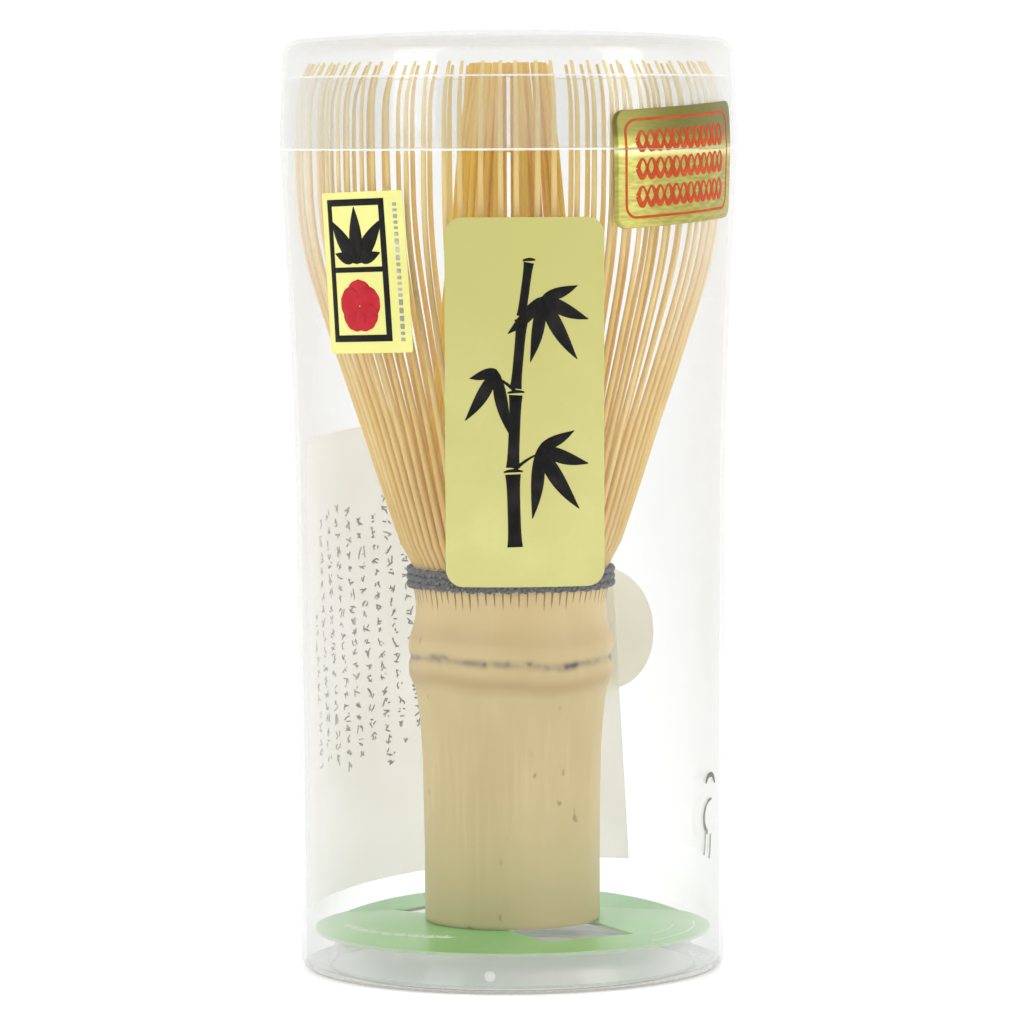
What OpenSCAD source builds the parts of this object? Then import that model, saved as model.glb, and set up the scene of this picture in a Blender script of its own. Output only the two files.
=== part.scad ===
// Bamboo tea whisk (chasen) standing in its clear storage case with a push-on cap.
// Millimetres. +Z is up, the origin is the centre of the case's foot and the front faces -Y.
// Azimuths are counted from the front towards +X.

/* [Case] */
// Radius of the case wall just above the foot
case_foot_r = 29.3; // [29.2:0.1:29.8]
// Radius of the case at its rim, where the cap's edge meets it
case_rim_r = 31.5; // [31.3:0.1:32.5]
// Height of the rim above the surface the case stands on
case_rim_z = 113; // [112:0.5:114]
// Thickness of the case wall
case_wall = 0.7; // [0.5:0.05:0.8]
// Height of the neck that the cap slides over
neck_h = 10; // [8:0.1:11]
// Thickness of the neck
neck_wall = 0.55; // [0.4:0.05:0.6]
// Height of the raised base panel's upper face
panel_z = 5.1; // [4.6:0.1:6]

/* [Cap] */
// Thickness of the cap
cap_wall = 0.55; // [0.45:0.05:0.6]
// Radial running gap between neck and cap
cap_fit = 0.1; // [0.05:0.01:0.1]
// Height of the straight skirt below the rounded shoulder
skirt_h = 12.6; // [11.5:0.1:13]
// Radius of the shoulder between skirt and top
shoulder_r = 2.6; // [2.5:0.1:4]
// Rise of the shallow dome in the middle of the top
dome_rise = 1.1; // [1:0.1:2.5]

/* [Handle] */
// Radius of the bamboo culm near its foot
culm_r = 12.2; // [12:0.1:12.5]
// Radius of the culm's hollow
bore_r = 9.7; // [9.3:0.1:9.8]
// Height of the node's groove above the foot of the handle
node_h = 36.7; // [36:0.1:37]
// Height above the foot at which the culm is split into tines
split_h = 49.3; // [49:0.05:49.6]
// Diameter of the black binding thread
thread_d = 0.95; // [0.8:0.05:1]

/* [Tines] */
// Number of tines in the outer ring, and again in the inner ring
tine_count = 72; // [48:12:72]
// Height of the tine tips above the foot of the handle
whisk_h = 118.5; // [118:0.1:119]
// Width of an outer tine
outer_w = 0.85; // [0.6:0.05:0.85]
// Thickness of an outer tine at its root
outer_t = 0.95; // [0.7:0.05:0.95]
// Width of an inner tine
inner_w = 0.42; // [0.3:0.02:0.42]
// Thickness of an inner tine at its root
inner_t = 0.9; // [0.6:0.1:1]

/* [Insert card] */
// Radius of the card disc under the whisk
card_r = 27.4; // [26:0.1:27.4]
// How far the rear of the card is bent up, in degrees.
card_bend = 7; // [0:0.5:8]
// Thickness of the card
card_t = 0.45; // [0.3:0.05:0.45]
// Width of each folded-up tab
tab_w = 14; // [10:0.5:14]
// Height of each folded-up tab
tab_h = 14; // [8:0.5:14]
// Distance of each tab from the middle of the card
tab_gap = 5; // [4:0.1:5.2]
// Azimuth that the front tab faces
tab_turn = 33.4; // [0:0.1:90]

/* [Leaflet] */
// Outer radius of the leaflet, which curls against the inside of the wall
leaflet_r = 28.4; // [28:0.05:28.5]
// Height of its lower edge
leaflet_z = 9.2; // [8.6:0.1:10]
// Height of the sheet
leaflet_h = 65; // [50:0.5:66]
// Azimuth of its right-hand end, counted backwards round the rear
leaflet_from = -216; // [-225:1:-200]
// Azimuth of its left-hand end
leaflet_to = -95; // [-110:1:-90]
// How far the sheet leans over: its top edge rises to the right by this angle
leaflet_rise_right = 3.9; // [0:0.1:5]
// and towards the back by this angle
leaflet_rise_back = 3.1; // [0:0.1:4]
// Lean of its right edge from upright
leaflet_slant = 3.5; // [0:0.5:12]

/* [Labels] */
// Thickness of each paper label
label_t = 0.15; // [0.1:0.01:0.2]
// Width of the tall front label
front_label_w = 21.6; // [18:0.2:24]
// Height of the tall front label
front_label_h = 49.2; // [40:0.2:50]
// Azimuth of the front label's middle
front_label_turn = 4; // [0:0.1:8]
// Height of the front label's middle
front_label_z = 79.5; // [78:0.1:82]
// Width of the small label at the left
side_label_w = 14.4; // [10:0.2:16]
// Height of the small label at the left
side_label_h = 21.6; // [15:0.2:22]
// Azimuth of the small label's middle
side_label_turn = -39.5; // [-48:0.5:-38]
// Height of the small label's middle
side_label_z = 96.7; // [90:0.1:98]
// Lean of the small label
side_label_tilt = 2; // [0:0.5:4]
// Radius of the round label at the back
rear_label_r = 8.8; // [6:0.1:10]
// Azimuth of the round label's middle
rear_label_turn = 154; // [140:1:200]
// Height of the round label's middle
rear_label_z = 44.3; // [32:0.1:54]
// Width of the foil seal that bridges cap and case
seal_w = 25.2; // [20:0.2:26]
// Height of the foil seal
seal_h = 15.8; // [14:0.2:16]
// Azimuth of the seal's middle
seal_turn = 49.5; // [46:0.5:56]
// Height of the seal's middle
seal_z = 110.9; // [110:0.1:112]
// Lean of the seal
seal_tilt = 3.2; // [0:0.1:8]

/* [Hidden] */
$fn = 96;
gap = 0.05;          // clearance between pieces that rest on each other
label_gap = 0.02;    // adhesive layer under a label
sector_count = 12;   // the tines are grouped in this many sectors, each its own node
sector_names = [for (i = [1:sector_count]) str(i < 10 ? "0" : "", i)];
per_sector = tine_count / sector_count;
sector_angle = 360 / sector_count;

// Case wall: nearly straight from the foot, then opening smoothly to the rim.
wall_lean = 0.005;   // radius gained per millimetre of height all the way up
flare_z = 66;        // height where the flare starts
flare = case_rim_r - case_foot_r - wall_lean * case_rim_z;
foot_corner = 1.5;    // radius of the rounded lower edge
foot_in_r = 25;      // inner edge of the ring that the case stands on
panel_r = 23.6;      // radius of the raised base panel
neck_blend = 5;      // height over which the wall draws in to the neck
gate_turn = -6;      // azimuth of the gate stub
gate_r = 0.6;        // its radius
lip_z = case_rim_z + neck_h;

function case_r(z) = case_foot_r + wall_lean * z
    + flare * pow(max(0, (z - flare_z) / (case_rim_z - flare_z)), 1.6);

// Cap: a skirt that draws in a little towards a rounded shoulder and a shallow dome.
skirt_draw = 0.5;    // how much narrower the skirt is at the shoulder than at its edge
cap_edge_z = case_rim_z + gap;
shoulder_z = case_rim_z + skirt_h;

function skirt_r(z) = case_rim_r - skirt_draw * pow(max(0, z - case_rim_z) / skirt_h, 1.5);
function neck_r(z) = skirt_r(z) - cap_wall - cap_fit;

// Whisk heights, measured up from the case's foot.
card_flat_r = 13;      // the card is level out to here, then falls to its edge
card_fall = 0.9;       // height from its middle down to its edge
card_bend_y = 13.2;     // distance from the middle to the line it is bent along
card_slope = card_fall / (card_r - card_flat_r);
card_z = panel_z + gap + card_slope * (panel_r + case_wall - card_flat_r);
card_top = card_z + card_t;
foot_z = card_top + gap;
split_z = foot_z + split_h;
tip_z = foot_z + whisk_h;

// The node: two swollen lips with a groove between them, and the waist that the thread sits above.
lip_r = culm_r + 2.05;
groove_r = culm_r + 1.8;
waist_r = culm_r + 1;
root_r = culm_r + 1.45;
diaphragm_t = 1.8;
wraps = 3;

// Outer tines: [height above the split, outer radius], opening like a trumpet and curling in at the tip.
outer_line = [
    [0, root_r - 0.05], [1, 14.4], [8.6, 17.2], [19.6, 20.8], [30.6, 24.6], [41.6, 28],
    [46, 28.9], [51, 29.4], [57, 29.5], [62, 29.45], [65.5, 29.1], [67.8, 28.4], [whisk_h - split_h, 27.6]];
// Inner tines: gathered towards the axis.
inner_line = [
    [0, 11.8], [8, 11.7], [24, 10.9], [39, 10], [48, 9.2], [57, 8.4], [66, 6.9], [whisk_h - split_h, 6.4]];

module lathe(outline) {
    rotate_extrude() polygon(outline);
}

// Turns a child that faces the front (-Y) to the given azimuth.
module face(azimuth) {
    rotate(azimuth) children();
}

// ---- Case ----

module case_shell() {
    levels = [3, 20, 45, flare_z, 76, 85, 94, 102, case_rim_z - neck_blend];
    corner = [for (a = [-90:15:0])
        [case_r(foot_corner) - foot_corner + foot_corner * cos(a), foot_corner + foot_corner * sin(a)]];
    outside = concat([[0, panel_z - case_wall], [panel_r, panel_z - case_wall], [foot_in_r, 0]], corner,
        [for (z = levels) [case_r(z), z]],
        [[case_r(case_rim_z), case_rim_z], [neck_r(case_rim_z), case_rim_z]],
        [for (z = [case_rim_z + 4:4:lip_z - 1]) [neck_r(z), z]],
        [[neck_r(lip_z), lip_z - 0.2], [neck_r(lip_z) - 0.15, lip_z]]);
    inside = concat([[neck_r(lip_z) - neck_wall, lip_z], [neck_r(case_rim_z) - neck_wall, case_rim_z]],
        [for (i = [len(levels) - 1:-1:0]) [case_r(levels[i]) - case_wall, levels[i]]],
        [[case_r(0) - 2, case_wall], [foot_in_r + case_wall, case_wall],
         [panel_r + case_wall, panel_z], [0, panel_z]]);
    color("white", 0.25) {
        lathe(concat(outside, inside));
        // Stub left where the moulding was cut from its gate.
        face(gate_turn) translate([0, -case_r(foot_corner) + 0.2, foot_corner + 1])
            rotate([90, 0, 0]) cylinder(r = gate_r, h = gate_r);
    }
}

module case_cap() {
    skirt = [for (z = [cap_edge_z, case_rim_z + 4, case_rim_z + 8]) [skirt_r(z), z]];
    shoulder_mid = skirt_r(shoulder_z) - shoulder_r;
    function shoulder(r) = [for (a = [0:15:90]) [shoulder_mid + r * cos(a), shoulder_z + r * sin(a)]];
    function dome(drop) = [for (s = [0.75:-0.25:0])
        [shoulder_mid * s, shoulder_z + shoulder_r - drop + dome_rise * (1 - s * s)]];
    color("white", 0.25)
        lathe(concat(skirt, shoulder(shoulder_r), dome(0),
            reverse(concat([for (p = skirt) [p[0] - cap_wall, p[1]]],
                shoulder(shoulder_r - cap_wall), dome(cap_wall)))));
}

function reverse(list) = [for (i = [len(list) - 1:-1:0]) list[i]];

// ---- Paper ----

// A gently domed disc with two windows whose tabs are folded up inside the hollow handle.
module insert_card() {
    color("mediumseagreen") {
        difference() {
            domed_card();
            card_rear();
        }
        translate([0, card_bend_y, 0]) rotate([card_bend, 0, 0]) translate([0, -card_bend_y, 0])
                intersection() {
                    domed_card();
                    card_rear();
                }
    }
}

// The region behind the line where the card is bent up.
module card_rear() {
    translate([-card_r - 1, card_bend_y, 0]) cube([2 * card_r + 2, card_r, card_top + 1]);
}

// The card before its rear is bent up: two halves, each with a tab folded up out of it.
module domed_card() {
    window_l = tab_h + 0.4;
    for (turn = [tab_turn, tab_turn + 180]) face(turn) {
        translate([-tab_w / 2, -tab_gap, card_z]) cube([tab_w, card_t, tab_h + card_t]);
        difference() {
            half_dome();
            translate([-tab_w / 2 - 0.1, -tab_gap - window_l, card_z - card_fall])
                cube([tab_w + 0.2, window_l, 2 * card_fall + card_t]);
        }
    }
}

// The front half of the domed disc.
module half_dome() {
    intersection() {
        lathe([[0, card_z], [card_flat_r, card_z], [card_r, card_z - card_fall],
            [card_r, card_top - card_fall], [card_flat_r, card_top], [0, card_top]]);
        translate([-card_r, -card_r, 0]) cube([2 * card_r, card_r, card_top + 1]);
    }
}

// A sheet curled against the rear left of the wall, leaning a little to the right.
module leaflet() {
    sheet_t = 0.2;
    tall = leaflet_h + 20;
    color("whitesmoke")
        difference() {
            intersection() {
                rotate([0, 0, leaflet_from - 90])
                    rotate_extrude(angle = leaflet_to - leaflet_from)
                        translate([leaflet_r - sheet_t, leaflet_z - 10]) square([sheet_t, tall]);
                translate([0, 0, leaflet_z]) rotate([leaflet_rise_back, -leaflet_rise_right, 0])
                    translate([-40, -40, 0]) cube([80, 80, leaflet_h]);
            }
            face(leaflet_from) translate([0, -leaflet_r - 5, leaflet_z])
                rotate([0, leaflet_slant, 0]) translate([-20, 0, -20]) cube([20, 20, leaflet_h + 40]);
        }
}

// Rounded rectangle in the X-Z plane, made solid along Y towards the front.
module label_cutter(w, h, r, tilt) {
    rotate([90, 0, 0]) linear_extrude(case_rim_r + 5) rotate(tilt) {
        square([w - 2 * r, h], center = true);
        square([w, h - 2 * r], center = true);
        for (x = [-1, 1], y = [-1, 1])
            translate([x * (w / 2 - r), y * (h / 2 - r)]) circle(r);
    }
}

// Thin skin over a lathed wall, between the first and last of its [radius, height] points.
module skin(points) {
    inner = [for (p = points) [p[0] + label_gap, p[1]]];
    outer = [for (p = points) [p[0] + label_gap + label_t, p[1]]];
    lathe(concat(inner, reverse(outer)));
}

// The wall's own levels, so that a label lies on the same conical bands.
function wall_points(levels) = [for (z = levels) [case_r(z), z]];

module front_label() {
    color("khaki") intersection() {
        skin(wall_points([45, flare_z, 76, 85, 94, 102, case_rim_z - neck_blend]));
        face(front_label_turn) translate([0, 0, front_label_z])
            label_cutter(front_label_w, front_label_h, 2.4, 0);
    }
}

module side_label() {
    color("khaki") intersection() {
        skin(wall_points([85, 94, 102, case_rim_z - neck_blend, case_rim_z - gap]));
        face(side_label_turn) translate([0, 0, side_label_z])
            label_cutter(side_label_w, side_label_h, 0.4, side_label_tilt);
    }
}

module rear_label() {
    color("lightgray") intersection() {
        skin(wall_points([20, 45, flare_z]));
        face(rear_label_turn) translate([0, 0, rear_label_z])
            rotate([90, 0, 0]) cylinder(r = rear_label_r, h = case_rim_r + 5);
    }
}

// Outline of the foil seal, shared by its two halves.
module seal_cutter() {
    face(seal_turn) translate([0, 0, seal_z]) label_cutter(seal_w, seal_h, 1.2, seal_tilt);
}

module seal_label_lower() {
    color("darkkhaki") intersection() {
        skin(wall_points([94, 102, case_rim_z - neck_blend, case_rim_z]));
        seal_cutter();
    }
}

module seal_label_upper() {
    color("darkkhaki") intersection() {
        skin([for (z = [cap_edge_z, case_rim_z + 4, case_rim_z + 8]) [skirt_r(z), z]]);
        seal_cutter();
    }
}

// ---- Whisk ----

// The culm: open at its foot, closed inside by the node's diaphragm, open again above it.
module handle() {
    outline = [
        [culm_r - 0.4, 0], [culm_r, 0.4], [culm_r, 9], [culm_r + 0.1, 16], [culm_r + 0.2, 22],
        [culm_r + 0.55, 27.7], [culm_r + 0.9, node_h - 6.1], [culm_r + 1.1, node_h - 4.7],
        [lip_r - 0.45, node_h - 3.4], [lip_r - 0.05, node_h - 2.4], [lip_r, node_h - 1.2],
        [groove_r + 0.1, node_h - 0.5], [groove_r, node_h], [groove_r + 0.1, node_h + 0.5],
        [lip_r, node_h + 1], [lip_r - 0.05, node_h + 2.2], [waist_r + 0.6, node_h + 3.5],
        [waist_r + 0.2, node_h + 4.8], [waist_r, node_h + 6.3], [waist_r, node_h + 7.8],
        [root_r - 0.15, split_h - wraps * thread_d],
        [root_r - 0.15, split_h - 0.1], [root_r, split_h]];
    hollow_top = node_h - diaphragm_t / 2;
    color("tan") translate([0, 0, foot_z]) difference() {
        lathe(concat([[0, 0]], outline, [[0, split_h]]));
        translate([0, 0, -1]) cylinder(r = bore_r, h = hollow_top + 1);
        translate([0, 0, hollow_top + diaphragm_t]) cylinder(r = bore_r + 0.5, h = split_h);
    }
}

// Black thread wound round the foot of the tines.
module binding_thread() {
    seat_r = root_r - 0.15 + gap;
    color("dimgray") rotate_extrude() for (i = [0:wraps - 1])
        translate([seat_r + thread_d / 2, split_z - 0.1 - thread_d * (i + 0.5)]) circle(d = thread_d + 0.05);
}

// One tine: an outline in the plane through the axis, extruded to the tine's width.
module tine(line, t_root, t_tip, w) {
    last = len(line) - 1;
    inner_side = [for (i = [last:-1:0])
        [line[i][0], line[i][1] - t_root + (t_root - t_tip) * line[i][0] / line[last][0]]];
    translate([0, w / 2, split_z]) rotate([90, 0, 0]) linear_extrude(w)
        polygon([for (p = concat(line, inner_side)) [p[1], p[0]]]);
}

// A sector's share of one ring of tines.
module tine_sector(i, line, t_root, t_tip, w) {
    for (k = [0:per_sector - 1])
        rotate(-90 + (i + (k + 0.5) / per_sector) * sector_angle) tine(line, t_root, t_tip, w);
}

module outer_tines(i) {
    color("burlywood") tine_sector(i, outer_line, outer_t, 0.45, outer_w);
}

module inner_tines(i) {
    color("goldenrod") tine_sector(i, inner_line, inner_t, 0.4, inner_w);
}

case_shell();
case_cap();
insert_card();
leaflet();
front_label();
side_label();
rear_label();
seal_label_lower();
seal_label_upper();
handle();
binding_thread();
for (i = [0:sector_count - 1]) {
    outer_tines(i);
    inner_tines(i);
}
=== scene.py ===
import math
import random

import bmesh
import bpy
import numpy as np
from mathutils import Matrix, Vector


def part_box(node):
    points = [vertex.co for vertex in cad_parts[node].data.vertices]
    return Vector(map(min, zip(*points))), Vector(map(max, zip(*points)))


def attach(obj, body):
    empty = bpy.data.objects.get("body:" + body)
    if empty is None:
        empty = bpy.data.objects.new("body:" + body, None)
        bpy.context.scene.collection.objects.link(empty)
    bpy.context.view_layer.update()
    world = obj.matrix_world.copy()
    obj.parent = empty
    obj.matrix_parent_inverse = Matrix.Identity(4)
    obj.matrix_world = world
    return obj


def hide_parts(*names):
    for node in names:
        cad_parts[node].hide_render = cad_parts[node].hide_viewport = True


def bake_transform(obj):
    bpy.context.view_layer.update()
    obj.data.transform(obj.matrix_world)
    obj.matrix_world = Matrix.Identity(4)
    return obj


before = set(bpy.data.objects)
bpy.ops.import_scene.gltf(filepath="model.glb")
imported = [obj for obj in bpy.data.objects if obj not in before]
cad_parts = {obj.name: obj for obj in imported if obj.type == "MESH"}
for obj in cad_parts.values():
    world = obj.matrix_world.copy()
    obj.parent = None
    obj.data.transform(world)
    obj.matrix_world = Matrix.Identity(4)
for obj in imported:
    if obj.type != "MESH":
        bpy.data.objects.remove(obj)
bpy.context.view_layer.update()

MM = 0.001
TAU = 2 * math.pi

# ---- sizes from the frame, in millimetres


def corners(node):
    """The lower and the upper corner of a CAD node's box, in millimetres."""
    return [[v / MM for v in corner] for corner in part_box(node)]


CASE_HIGH = corners("case_shell")[1]
CAP_LOW, CAP_HIGH = corners("case_cap")
HANDLE_LOW, HANDLE_HIGH = corners("handle")
THREAD_LOW, THREAD_HIGH = corners("binding_thread")

RIM_R = CASE_HIGH[0]
RIM_Z = CAP_LOW[2] - 0.05
LIP_Z = CASE_HIGH[2]
TOP_Z = CAP_HIGH[2]
FOOT_Z = HANDLE_LOW[2]
SPLIT_Z = HANDLE_HIGH[2]
TIP_Z = corners("outer_tines_01")[1][2]
CARD_R = corners("insert_card")[1][0]

# ---- colours


def srgb(red, green, blue):
    """A colour as the eye reads it on screen, 0 to 255, in the linear values that shaders take."""
    def linear(v):
        v /= 255
        return v / 12.92 if v <= 0.04045 else ((v + 0.055) / 1.055) ** 2.4
    return linear(red), linear(green), linear(blue), 1.0


WHITE = (1, 1, 1, 1)


# ---- mesh helpers


class Build:
    """Collects points in millimetres and faces, then makes one object of them."""

    def __init__(self):
        self.points, self.faces, self.slots, self.shades = [], [], [], []

    def add(self, points, faces, slot=0, shade=0.5):
        start = len(self.points)
        self.points.extend(points)
        self.shades.extend([shade] * len(points))
        self.faces.extend([[start + i for i in face] for face in faces])
        self.slots.extend([slot] * len(faces))

    def grid(self, rows, around=False, caps=False, slot=0, shade=0.5):
        """Quads over rows of points; around joins each row's ends and caps closes the first and last row."""
        wide = len(rows[0])
        faces = []
        for j in range(len(rows) - 1):
            for i in range(wide if around else wide - 1):
                k = (i + 1) % wide
                faces.append([j * wide + i, j * wide + k, (j + 1) * wide + k, (j + 1) * wide + i])
        if caps:
            faces.append(list(range(wide))[::-1])
            faces.append([(len(rows) - 1) * wide + i for i in range(wide)])
        self.add([p for row in rows for p in row], faces, slot, shade)

    def slab(self, outer, inner, slot=0, shade=0.5):
        """A closed sheet between two grids of the same shape."""
        high, wide = len(outer), len(outer[0])
        far = high * wide
        faces = []
        for j in range(high - 1):
            for i in range(wide - 1):
                a, b, c, d = j * wide + i, j * wide + i + 1, (j + 1) * wide + i + 1, (j + 1) * wide + i
                faces.append([a, b, c, d])
                faces.append([far + d, far + c, far + b, far + a])
        edge = (list(range(wide)) + [j * wide + wide - 1 for j in range(1, high)]
                + [(high - 1) * wide + i for i in range(wide - 2, -1, -1)]
                + [j * wide for j in range(high - 2, 0, -1)])
        for a, b in zip(edge, edge[1:] + edge[:1]):
            faces.append([b, a, far + a, far + b])
        self.add([p for g in (outer, inner) for row in g for p in row], faces, slot, shade)

    def make(self, name, *materials):
        mesh = bpy.data.meshes.new(name)
        mesh.from_pydata([(x * MM, y * MM, z * MM) for x, y, z in self.points], [], self.faces)
        for material in materials:
            mesh.materials.append(material)
        mesh.polygons.foreach_set("material_index", self.slots)
        mesh.polygons.foreach_set("use_smooth", [True] * len(self.faces))
        shade = mesh.attributes.new("shade", "FLOAT", "POINT")
        shade.data.foreach_set("value", self.shades)
        mesh.validate()
        piece = bpy.data.objects.new(name, mesh)
        bpy.context.scene.collection.objects.link(piece)
        return piece


def weld(piece, distance=0.002):
    """Joins points that lie on each other, such as a lathed outline's ends on the axis."""
    bm = bmesh.new()
    bm.from_mesh(piece.data)
    bmesh.ops.remove_doubles(bm, verts=bm.verts, dist=distance * MM)
    bmesh.ops.recalc_face_normals(bm, faces=bm.faces)
    bm.to_mesh(piece.data)
    bm.free()
    return piece


def sharpen(piece, degrees):
    """Smooth shading, with edges over the given angle kept crisp."""
    piece.data.set_sharp_from_angle(angle=math.radians(degrees))
    return piece


def on_ring(radius, azimuth, z):
    """A point at an azimuth in radians, counted from the front (-Y) towards +X."""
    return radius * math.sin(azimuth), -radius * math.cos(azimuth), z


SMOOTH_RING = 192     # segments round the clear shells


def lathe(outline, slot_of):
    """A closed outline of (radius, z) turned about the axis; slot_of gives each band's material slot."""
    build = Build()
    loop = outline + outline[:1]
    for (r0, z0), (r1, z1) in zip(loop, loop[1:]):
        rows = [[on_ring(r, TAU * i / SMOOTH_RING, z) for i in range(SMOOTH_RING)]
                for r, z in ((r0, z0), (r1, z1))]
        build.grid(rows, around=True, slot=slot_of((r0 + r1) / 2, (z0 + z1) / 2))
    return build


def curve_through(points, value):
    """A smooth value between (position, value) points, with no overshoot."""
    xs, ys = zip(*points)
    if value <= xs[0]:
        return ys[0]
    if value >= xs[-1]:
        return ys[-1]
    i = max(k for k in range(len(xs) - 1) if xs[k] <= value)
    slopes = [(ys[k + 1] - ys[k]) / (xs[k + 1] - xs[k]) for k in range(len(xs) - 1)]

    def tangent(k):
        if k == 0:
            return slopes[0]
        if k == len(xs) - 1:
            return slopes[-1]
        a, b = slopes[k - 1], slopes[k]
        return 0 if a * b <= 0 else 2 * a * b / (a + b)
    h = xs[i + 1] - xs[i]
    t = (value - xs[i]) / h
    return (ys[i] * (1 + 2 * t) * (1 - t) ** 2 + ys[i + 1] * t * t * (3 - 2 * t)
            + h * tangent(i) * t * (1 - t) ** 2 - h * tangent(i + 1) * t * t * (1 - t))


def ramp(value, low, high):
    """0 below low, 1 above high, smooth between."""
    t = min(1, max(0, (value - low) / (high - low)))
    return t * t * (3 - 2 * t)


# ---- materials


class Nodes:
    """A material's node tree, with short calls for the nodes used here."""

    def __init__(self, name):
        self.material = bpy.data.materials.new(name)
        self.material.use_nodes = True
        self.tree = self.material.node_tree
        self.tree.nodes.clear()

    def call(self, kind, inputs, output=0, **settings):
        """A new node's output; inputs go by number or name, and a tuple of three is a screen colour."""
        node = self.tree.nodes.new("ShaderNode" + kind)
        for key, value in settings.items():
            setattr(node, key, value)
        for key, value in inputs.items():
            if isinstance(value, bpy.types.NodeSocket):
                self.tree.links.new(value, node.inputs[key])
            else:
                screen = isinstance(value, tuple) and len(value) == 3
                node.inputs[key].default_value = srgb(*value) if screen else value
        return node.outputs[output] if node.outputs else None

    def math(self, operation, a, b=0.0, clamp=False):
        return self.call("Math", {0: a, 1: b}, operation=operation, use_clamp=clamp)

    def place(self, along=1):
        """Object coordinates, squeezed by along in height."""
        return self.call("Mapping", {"Vector": self.call("TexCoord", {}, "Object"), "Scale": [1, 1, along]})

    def noise(self, scale, detail=3.0, rough=0.55, along=1):
        return self.call("TexNoise", {"Vector": self.place(along), "Scale": scale, "Detail": detail,
                                      "Roughness": rough})

    def fit(self, value, low, high, to_low=0.0, to_high=1.0):
        return self.call("MapRange", {0: value, 1: low, 2: high, 3: to_low, 4: to_high},
                         clamp=True, interpolation_type="SMOOTHSTEP")

    def spread(self, noise, to_low=0.0, to_high=1.0):
        """Brings the values that a noise mostly has to the given range."""
        return self.fit(noise, 0.3, 0.7, to_low, to_high)

    def mix(self, factor, a, b):
        return self.call("Mix", {0: factor, 6: a, 7: b}, 2, data_type="RGBA")

    def attribute(self, name):
        return self.call("Attribute", {}, "Fac", attribute_name=name)

    def upward(self, vector):
        return self.call("SeparateXYZ", {0: vector}, 2)

    def height(self):
        """Height above the foot, in metres."""
        return self.upward(self.call("TexCoord", {}, "Object"))

    def bump(self, height, strength, distance):
        return self.call("Bump", {"Strength": strength, "Distance": distance * MM, "Height": height})

    def principled(self, colour, rough, normal=None, **sockets):
        inputs = {"Base Color": colour, "Roughness": rough}
        if normal is not None:
            inputs["Normal"] = normal
        inputs.update({name.replace("_", " "): value for name, value in sockets.items()})
        return self.call("BsdfPrincipled", inputs)

    def blend(self, share, first, second):
        """Two shaders mixed; share is the second one's part."""
        return self.call("MixShader", {0: share, 1: first, 2: second})

    def translucent(self, share, shader, colour):
        """A shader that lets part of the light through in the given colour."""
        return self.blend(share, shader, self.call("BsdfTranslucent", {"Color": colour}))

    def finish(self, shader):
        self.call("OutputMaterial", {"Surface": shader})
        return self.material


def clear_plastic(name, haze, edge_haze):
    """Thin clear moulded plastic: see-through face on, with a milky edge and soft reflections."""
    n = Nodes(name)
    edge = n.math("POWER", n.call("LayerWeight", {"Blend": 0.5}, "Facing"), 2.5)
    flow = n.noise(60, 2.0, along=0.25)
    tint = n.mix(edge, (0.966, 0.968, 0.966, 1), (0.88, 0.885, 0.885, 1))
    clear = n.call("BsdfTransparent", {"Color": tint})
    shine = n.call("BsdfGlossy", {"Color": WHITE, "Roughness": n.spread(flow, 0.05, 0.11)})
    mirror = n.math("ADD", n.math("MULTIPLY", edge, 0.3), 0.015)
    coated = n.blend(mirror, clear, shine)
    milky = n.principled(n.mix(flow, (236, 238, 238), (246, 247, 247)), 0.25)
    amount = n.math("ADD", n.math("MULTIPLY", edge, edge_haze), n.spread(flow, haze * 0.7, haze * 1.3))
    return n.finish(n.blend(amount, coated, milky))


def plastic_painted_light(name, solidity, dark=(240, 241, 240), light=(252, 252, 251), shine=0.12):
    """Painted light on the clear plastic: its cut and moulded edges are painted as pale, faintly glowing
    lines (painted highlight) where they gather light; with dark tones and no glow, it is a painted shade.
    """
    n = Nodes(name)
    grain = n.noise(900, 2.0)
    # painted highlight: pale colour and a faint emission glow
    white = n.principled(
        n.mix(grain, dark, light), n.spread(grain, 0.2, 0.35),
        Emission_Color=WHITE, Emission_Strength=shine)
    solid = n.fit(grain, 0.2, 0.8, solidity * 0.9, solidity)
    return n.finish(n.blend(solid, n.call("BsdfTransparent", {}), white))


def culm_bamboo():
    """Smooth bamboo skin: long fibres, soft blotches, a few dark specks, and the darker node."""
    n = Nodes("bamboo_culm")
    fibre = n.noise(260, 4.0, 0.6, along=0.035)
    fine = n.noise(1500, 3.0, 0.6, along=0.02)
    blotch = n.noise(85, 3.0, 0.5, along=0.5)
    speck = n.noise(520, 2.0, 0.5, along=0.8)
    colour = n.mix(n.spread(blotch), (198, 176, 124), (208, 187, 136))
    line = n.attribute("node_line")
    spots = n.fit(n.noise(260, 2.0, along=0.6), 0.56, 0.66)
    for share, tone in (
            (n.fit(fibre, 0.35, 0.7, 0, 0.25), (192, 172, 118)),
            (n.fit(fine, 0.45, 0.75, 0, 0.2), (228, 212, 170)),
            (n.fit(n.height(), 0.038, 0.055, 0, 0.55), (218, 188, 132)),
            (n.fit(n.height(), 0.026, 0.007, 0, 0.6), (180, 172, 118)),
            (n.fit(speck, 0.7, 0.76, 0, 0.6), (136, 108, 68)),
            (n.math("MULTIPLY", n.attribute("band"), 0.75), (180, 150, 100)),
            (n.math("MULTIPLY", line, n.fit(n.noise(420), 0.35, 0.65, 0.35, 0.95)), (140, 126, 104)),
            (n.math("MULTIPLY", line, spots, clamp=True), (72, 62, 52))):
        colour = n.mix(share, colour, tone)
    bump = n.math("ADD", n.math("MULTIPLY", fibre, 0.7), n.math("MULTIPLY", fine, 0.3))
    return n.finish(n.principled(
        colour, n.spread(fibre, 0.42, 0.56), n.bump(bump, 0.35, 0.06),
        Specular_IOR_Level=0.3, Coat_Weight=0.08, Coat_Roughness=0.35))


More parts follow.
